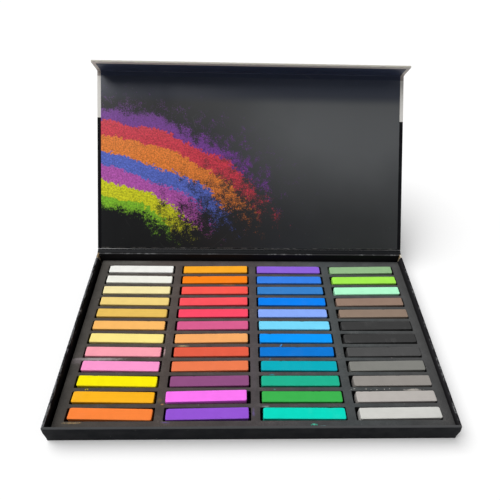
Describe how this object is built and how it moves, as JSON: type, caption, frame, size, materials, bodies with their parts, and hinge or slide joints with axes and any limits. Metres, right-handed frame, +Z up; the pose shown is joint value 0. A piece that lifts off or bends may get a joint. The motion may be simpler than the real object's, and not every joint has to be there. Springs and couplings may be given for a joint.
{
  "type": "soft pastel box",
  "caption": "Open book-style paperboard box: hinged lid with folding magnet flap over a shallow tray whose foam sheet holds pastel sticks in pockets.",
  "frame": {"origin": "centre of the tray's footprint, on the underside of the base panel", "axes": "+X to the right, +Y from the front wall to the lid hinge, +Z up"},
  "size_m": [0.32, 0.3144, 0.1723],
  "materials": {
    "case_wrap": "printed paper over greyboard, satin laminate",
    "liner_print": "printed liner sheet, semi-gloss laminate",
    "foam": "closed-cell foam, matt",
    "magnet_plate": "nickel plated",
    "pastel_c1_r01": "pressed pastel, matt and powdery",
    "pastel_c1_r02": "pressed pastel, matt and powdery",
    "pastel_c1_r03": "pressed pastel, matt and powdery",
    "pastel_c1_r04": "pressed pastel, matt and powdery",
    "pastel_c1_r05": "pressed pastel, matt and powdery",
    "pastel_c1_r06": "pressed pastel, matt and powdery",
    "pastel_c1_r07": "pressed pastel, matt and powdery",
    "pastel_c1_r08": "pressed pastel, matt and powdery",
    "pastel_c1_r09": "pressed pastel, matt and powdery",
    "pastel_c1_r10": "pressed pastel, matt and powdery",
    "pastel_c1_r11": "pressed pastel, matt and powdery",
    "pastel_c1_r12": "pressed pastel, matt and powdery",
    "pastel_c2_r01": "pressed pastel, matt and powdery",
    "pastel_c2_r02": "pressed pastel, matt and powdery",
    "pastel_c2_r03": "pressed pastel, matt and powdery",
    "pastel_c2_r04": "pressed pastel, matt and powdery",
    "pastel_c2_r05": "pressed pastel, matt and powdery",
    "pastel_c2_r06": "pressed pastel, matt and powdery",
    "pastel_c2_r07": "pressed pastel, matt and powdery",
    "pastel_c2_r08": "pressed pastel, matt and powdery",
    "pastel_c2_r09": "pressed pastel, matt and powdery",
    "pastel_c2_r10": "pressed pastel, matt and powdery",
    "pastel_c2_r11": "pressed pastel, matt and powdery",
    "pastel_c2_r12": "pressed pastel, matt and powdery",
    "pastel_c3_r01": "pressed pastel, matt and powdery",
    "pastel_c3_r02": "pressed pastel, matt and powdery",
    "pastel_c3_r03": "pressed pastel, matt and powdery",
    "pastel_c3_r04": "pressed pastel, matt and powdery",
    "pastel_c3_r05": "pressed pastel, matt and powdery",
    "pastel_c3_r06": "pressed pastel, matt and powdery",
    "pastel_c3_r07": "pressed pastel, matt and powdery",
    "pastel_c3_r08": "pressed pastel, matt and powdery",
    "pastel_c3_r09": "pressed pastel, matt and powdery",
    "pastel_c3_r10": "pressed pastel, matt and powdery",
    "pastel_c3_r11": "pressed pastel, matt and powdery",
    "pastel_c3_r12": "pressed pastel, matt and powdery",
    "pastel_c4_r01": "pressed pastel, matt and powdery",
    "pastel_c4_r02": "pressed pastel, matt and powdery",
    "pastel_c4_r03": "pressed pastel, matt and powdery",
    "pastel_c4_r04": "pressed pastel, matt and powdery",
    "pastel_c4_r05": "pressed pastel, matt and powdery",
    "pastel_c4_r06": "pressed pastel, matt and powdery",
    "pastel_c4_r07": "pressed pastel, matt and powdery",
    "pastel_c4_r08": "pressed pastel, matt and powdery",
    "pastel_c4_r09": "pressed pastel, matt and powdery",
    "pastel_c4_r10": "pressed pastel, matt and powdery",
    "pastel_c4_r11": "pressed pastel, matt and powdery",
    "pastel_c4_r12": "pressed pastel, matt and powdery"
  },
  "bodies": {
    "tray_body": {"case_base_panel": "case_wrap", "case_spine_panel": "case_wrap", "tray": "case_wrap", "tray_magnets": "magnet_plate", "foam_insert": "foam"},
    "lid": {"lid_panel": "case_wrap", "lid_liner": "liner_print", "lid_hinge": "case_wrap"},
    "flap": {"flap_panel": "case_wrap", "flap_liner": "liner_print", "flap_magnets": "magnet_plate", "flap_hinge": "case_wrap"},
    "stick_c1_r01": {"stick_c1_r01": "pastel_c1_r01"},
    "stick_c1_r02": {"stick_c1_r02": "pastel_c1_r02"},
    "stick_c1_r03": {"stick_c1_r03": "pastel_c1_r03"},
    "stick_c1_r04": {"stick_c1_r04": "pastel_c1_r04"},
    "stick_c1_r05": {"stick_c1_r05": "pastel_c1_r05"},
    "stick_c1_r06": {"stick_c1_r06": "pastel_c1_r06"},
    "stick_c1_r07": {"stick_c1_r07": "pastel_c1_r07"},
    "stick_c1_r08": {"stick_c1_r08": "pastel_c1_r08"},
    "stick_c1_r09": {"stick_c1_r09": "pastel_c1_r09"},
    "stick_c1_r10": {"stick_c1_r10": "pastel_c1_r10"},
    "stick_c1_r11": {"stick_c1_r11": "pastel_c1_r11"},
    "stick_c1_r12": {"stick_c1_r12": "pastel_c1_r12"},
    "stick_c2_r01": {"stick_c2_r01": "pastel_c2_r01"},
    "stick_c2_r02": {"stick_c2_r02": "pastel_c2_r02"},
    "stick_c2_r03": {"stick_c2_r03": "pastel_c2_r03"},
    "stick_c2_r04": {"stick_c2_r04": "pastel_c2_r04"},
    "stick_c2_r05": {"stick_c2_r05": "pastel_c2_r05"},
    "stick_c2_r06": {"stick_c2_r06": "pastel_c2_r06"},
    "stick_c2_r07": {"stick_c2_r07": "pastel_c2_r07"},
    "stick_c2_r08": {"stick_c2_r08": "pastel_c2_r08"},
    "stick_c2_r09": {"stick_c2_r09": "pastel_c2_r09"},
    "stick_c2_r10": {"stick_c2_r10": "pastel_c2_r10"},
    "stick_c2_r11": {"stick_c2_r11": "pastel_c2_r11"},
    "stick_c2_r12": {"stick_c2_r12": "pastel_c2_r12"},
    "stick_c3_r01": {"stick_c3_r01": "pastel_c3_r01"},
    "stick_c3_r02": {"stick_c3_r02": "pastel_c3_r02"},
    "stick_c3_r03": {"stick_c3_r03": "pastel_c3_r03"},
    "stick_c3_r04": {"stick_c3_r04": "pastel_c3_r04"},
    "stick_c3_r05": {"stick_c3_r05": "pastel_c3_r05"},
    "stick_c3_r06": {"stick_c3_r06": "pastel_c3_r06"},
    "stick_c3_r07": {"stick_c3_r07": "pastel_c3_r07"},
    "stick_c3_r08": {"stick_c3_r08": "pastel_c3_r08"},
    "stick_c3_r09": {"stick_c3_r09": "pastel_c3_r09"},
    "stick_c3_r10": {"stick_c3_r10": "pastel_c3_r10"},
    "stick_c3_r11": {"stick_c3_r11": "pastel_c3_r11"},
    "stick_c3_r12": {"stick_c3_r12": "pastel_c3_r12"},
    "stick_c4_r01": {"stick_c4_r01": "pastel_c4_r01"},
    "stick_c4_r02": {"stick_c4_r02": "pastel_c4_r02"},
    "stick_c4_r03": {"stick_c4_r03": "pastel_c4_r03"},
    "stick_c4_r04": {"stick_c4_r04": "pastel_c4_r04"},
    "stick_c4_r05": {"stick_c4_r05": "pastel_c4_r05"},
    "stick_c4_r06": {"stick_c4_r06": "pastel_c4_r06"},
    "stick_c4_r07": {"stick_c4_r07": "pastel_c4_r07"},
    "stick_c4_r08": {"stick_c4_r08": "pastel_c4_r08"},
    "stick_c4_r09": {"stick_c4_r09": "pastel_c4_r09"},
    "stick_c4_r10": {"stick_c4_r10": "pastel_c4_r10"},
    "stick_c4_r11": {"stick_c4_r11": "pastel_c4_r11"},
    "stick_c4_r12": {"stick_c4_r12": "pastel_c4_r12"}
  },
  "joints": [
    {"name": "lid_hinge", "type": "hinge", "parent": "tray_body", "child": "lid", "pos_m": [0, 0.094, 0.0204], "axis": [-1, 0, 0], "range_deg": [-133, 47], "deforming": ["lid_hinge"]},
    {"name": "flap_fold", "type": "hinge", "parent": "lid", "child": "flap", "pos_m": [0, 0.22092, 0.1565], "axis": [-1, 0, 0], "range_deg": [-3, 87], "deforming": ["flap_hinge"]},
    {"name": "stick_c1_r01_lift", "type": "slide", "parent": "tray_body", "child": "stick_c1_r01", "axis": [0, 0, 1], "range_m": [0, 0.02]},
    {"name": "stick_c1_r02_lift", "type": "slide", "parent": "tray_body", "child": "stick_c1_r02", "axis": [0, 0, 1], "range_m": [0, 0.02]},
    {"name": "stick_c1_r03_lift", "type": "slide", "parent": "tray_body", "child": "stick_c1_r03", "axis": [0, 0, 1], "range_m": [0, 0.02]},
    {"name": "stick_c1_r04_lift", "type": "slide", "parent": "tray_body", "child": "stick_c1_r04", "axis": [0, 0, 1], "range_m": [0, 0.02]},
    {"name": "stick_c1_r05_lift", "type": "slide", "parent": "tray_body", "child": "stick_c1_r05", "axis": [0, 0, 1], "range_m": [0, 0.02]},
    {"name": "stick_c1_r06_lift", "type": "slide", "parent": "tray_body", "child": "stick_c1_r06", "axis": [0, 0, 1], "range_m": [0, 0.02]},
    {"name": "stick_c1_r07_lift", "type": "slide", "parent": "tray_body", "child": "stick_c1_r07", "axis": [0, 0, 1], "range_m": [0, 0.02]},
    {"name": "stick_c1_r08_lift", "type": "slide", "parent": "tray_body", "child": "stick_c1_r08", "axis": [0, 0, 1], "range_m": [0, 0.02]},
    {"name": "stick_c1_r09_lift", "type": "slide", "parent": "tray_body", "child": "stick_c1_r09", "axis": [0, 0, 1], "range_m": [0, 0.02]},
    {"name": "stick_c1_r10_lift", "type": "slide", "parent": "tray_body", "child": "stick_c1_r10", "axis": [0, 0, 1], "range_m": [0, 0.02]},
    {"name": "stick_c1_r11_lift", "type": "slide", "parent": "tray_body", "child": "stick_c1_r11", "axis": [0, 0, 1], "range_m": [0, 0.02]},
    {"name": "stick_c1_r12_lift", "type": "slide", "parent": "tray_body", "child": "stick_c1_r12", "axis": [0, 0, 1], "range_m": [0, 0.02]},
    {"name": "stick_c2_r01_lift", "type": "slide", "parent": "tray_body", "child": "stick_c2_r01", "axis": [0, 0, 1], "range_m": [0, 0.02]},
    {"name": "stick_c2_r02_lift", "type": "slide", "parent": "tray_body", "child": "stick_c2_r02", "axis": [0, 0, 1], "range_m": [0, 0.02]},
    {"name": "stick_c2_r03_lift", "type": "slide", "parent": "tray_body", "child": "stick_c2_r03", "axis": [0, 0, 1], "range_m": [0, 0.02]},
    {"name": "stick_c2_r04_lift", "type": "slide", "parent": "tray_body", "child": "stick_c2_r04", "axis": [0, 0, 1], "range_m": [0, 0.02]},
    {"name": "stick_c2_r05_lift", "type": "slide", "parent": "tray_body", "child": "stick_c2_r05", "axis": [0, 0, 1], "range_m": [0, 0.02]},
    {"name": "stick_c2_r06_lift", "type": "slide", "parent": "tray_body", "child": "stick_c2_r06", "axis": [0, 0, 1], "range_m": [0, 0.02]},
    {"name": "stick_c2_r07_lift", "type": "slide", "parent": "tray_body", "child": "stick_c2_r07", "axis": [0, 0, 1], "range_m": [0, 0.02]},
    {"name": "stick_c2_r08_lift", "type": "slide", "parent": "tray_body", "child": "stick_c2_r08", "axis": [0, 0, 1], "range_m": [0, 0.02]},
    {"name": "stick_c2_r09_lift", "type": "slide", "parent": "tray_body", "child": "stick_c2_r09", "axis": [0, 0, 1], "range_m": [0, 0.02]},
    {"name": "stick_c2_r10_lift", "type": "slide", "parent": "tray_body", "child": "stick_c2_r10", "axis": [0, 0, 1], "range_m": [0, 0.02]},
    {"name": "stick_c2_r11_lift", "type": "slide", "parent": "tray_body", "child": "stick_c2_r11", "axis": [0, 0, 1], "range_m": [0, 0.02]},
    {"name": "stick_c2_r12_lift", "type": "slide", "parent": "tray_body", "child": "stick_c2_r12", "axis": [0, 0, 1], "range_m": [0, 0.02]},
    {"name": "stick_c3_r01_lift", "type": "slide", "parent": "tray_body", "child": "stick_c3_r01", "axis": [0, 0, 1], "range_m": [0, 0.02]},
    {"name": "stick_c3_r02_lift", "type": "slide", "parent": "tray_body", "child": "stick_c3_r02", "axis": [0, 0, 1], "range_m": [0, 0.02]},
    {"name": "stick_c3_r03_lift", "type": "slide", "parent": "tray_body", "child": "stick_c3_r03", "axis": [0, 0, 1], "range_m": [0, 0.02]},
    {"name": "stick_c3_r04_lift", "type": "slide", "parent": "tray_body", "child": "stick_c3_r04", "axis": [0, 0, 1], "range_m": [0, 0.02]},
    {"name": "stick_c3_r05_lift", "type": "slide", "parent": "tray_body", "child": "stick_c3_r05", "axis": [0, 0, 1], "range_m": [0, 0.02]},
    {"name": "stick_c3_r06_lift", "type": "slide", "parent": "tray_body", "child": "stick_c3_r06", "axis": [0, 0, 1], "range_m": [0, 0.02]},
    {"name": "stick_c3_r07_lift", "type": "slide", "parent": "tray_body", "child": "stick_c3_r07", "axis": [0, 0, 1], "range_m": [0, 0.02]},
    {"name": "stick_c3_r08_lift", "type": "slide", "parent": "tray_body", "child": "stick_c3_r08", "axis": [0, 0, 1], "range_m": [0, 0.02]},
    {"name": "stick_c3_r09_lift", "type": "slide", "parent": "tray_body", "child": "stick_c3_r09", "axis": [0, 0, 1], "range_m": [0, 0.02]},
    {"name": "stick_c3_r10_lift", "type": "slide", "parent": "tray_body", "child": "stick_c3_r10", "axis": [0, 0, 1], "range_m": [0, 0.02]},
    {"name": "stick_c3_r11_lift", "type": "slide", "parent": "tray_body", "child": "stick_c3_r11", "axis": [0, 0, 1], "range_m": [0, 0.02]},
    {"name": "stick_c3_r12_lift", "type": "slide", "parent": "tray_body", "child": "stick_c3_r12", "axis": [0, 0, 1], "range_m": [0, 0.02]},
    {"name": "stick_c4_r01_lift", "type": "slide", "parent": "tray_body", "child": "stick_c4_r01", "axis": [0, 0, 1], "range_m": [0, 0.02]},
    {"name": "stick_c4_r02_lift", "type": "slide", "parent": "tray_body", "child": "stick_c4_r02", "axis": [0, 0, 1], "range_m": [0, 0.02]},
    {"name": "stick_c4_r03_lift", "type": "slide", "parent": "tray_body", "child": "stick_c4_r03", "axis": [0, 0, 1], "range_m": [0, 0.02]},
    {"name": "stick_c4_r04_lift", "type": "slide", "parent": "tray_body", "child": "stick_c4_r04", "axis": [0, 0, 1], "range_m": [0, 0.02]},
    {"name": "stick_c4_r05_lift", "type": "slide", "parent": "tray_body", "child": "stick_c4_r05", "axis": [0, 0, 1], "range_m": [0, 0.02]},
    {"name": "stick_c4_r06_lift", "type": "slide", "parent": "tray_body", "child": "stick_c4_r06", "axis": [0, 0, 1], "range_m": [0, 0.02]},
    {"name": "stick_c4_r07_lift", "type": "slide", "parent": "tray_body", "child": "stick_c4_r07", "axis": [0, 0, 1], "range_m": [0, 0.02]},
    {"name": "stick_c4_r08_lift", "type": "slide", "parent": "tray_body", "child": "stick_c4_r08", "axis": [0, 0, 1], "range_m": [0, 0.02]},
    {"name": "stick_c4_r09_lift", "type": "slide", "parent": "tray_body", "child": "stick_c4_r09", "axis": [0, 0, 1], "range_m": [0, 0.02]},
    {"name": "stick_c4_r10_lift", "type": "slide", "parent": "tray_body", "child": "stick_c4_r10", "axis": [0, 0, 1], "range_m": [0, 0.02]},
    {"name": "stick_c4_r11_lift", "type": "slide", "parent": "tray_body", "child": "stick_c4_r11", "axis": [0, 0, 1], "range_m": [0, 0.02]},
    {"name": "stick_c4_r12_lift", "type": "slide", "parent": "tray_body", "child": "stick_c4_r12", "axis": [0, 0, 1], "range_m": [0, 0.02]}
  ]
}
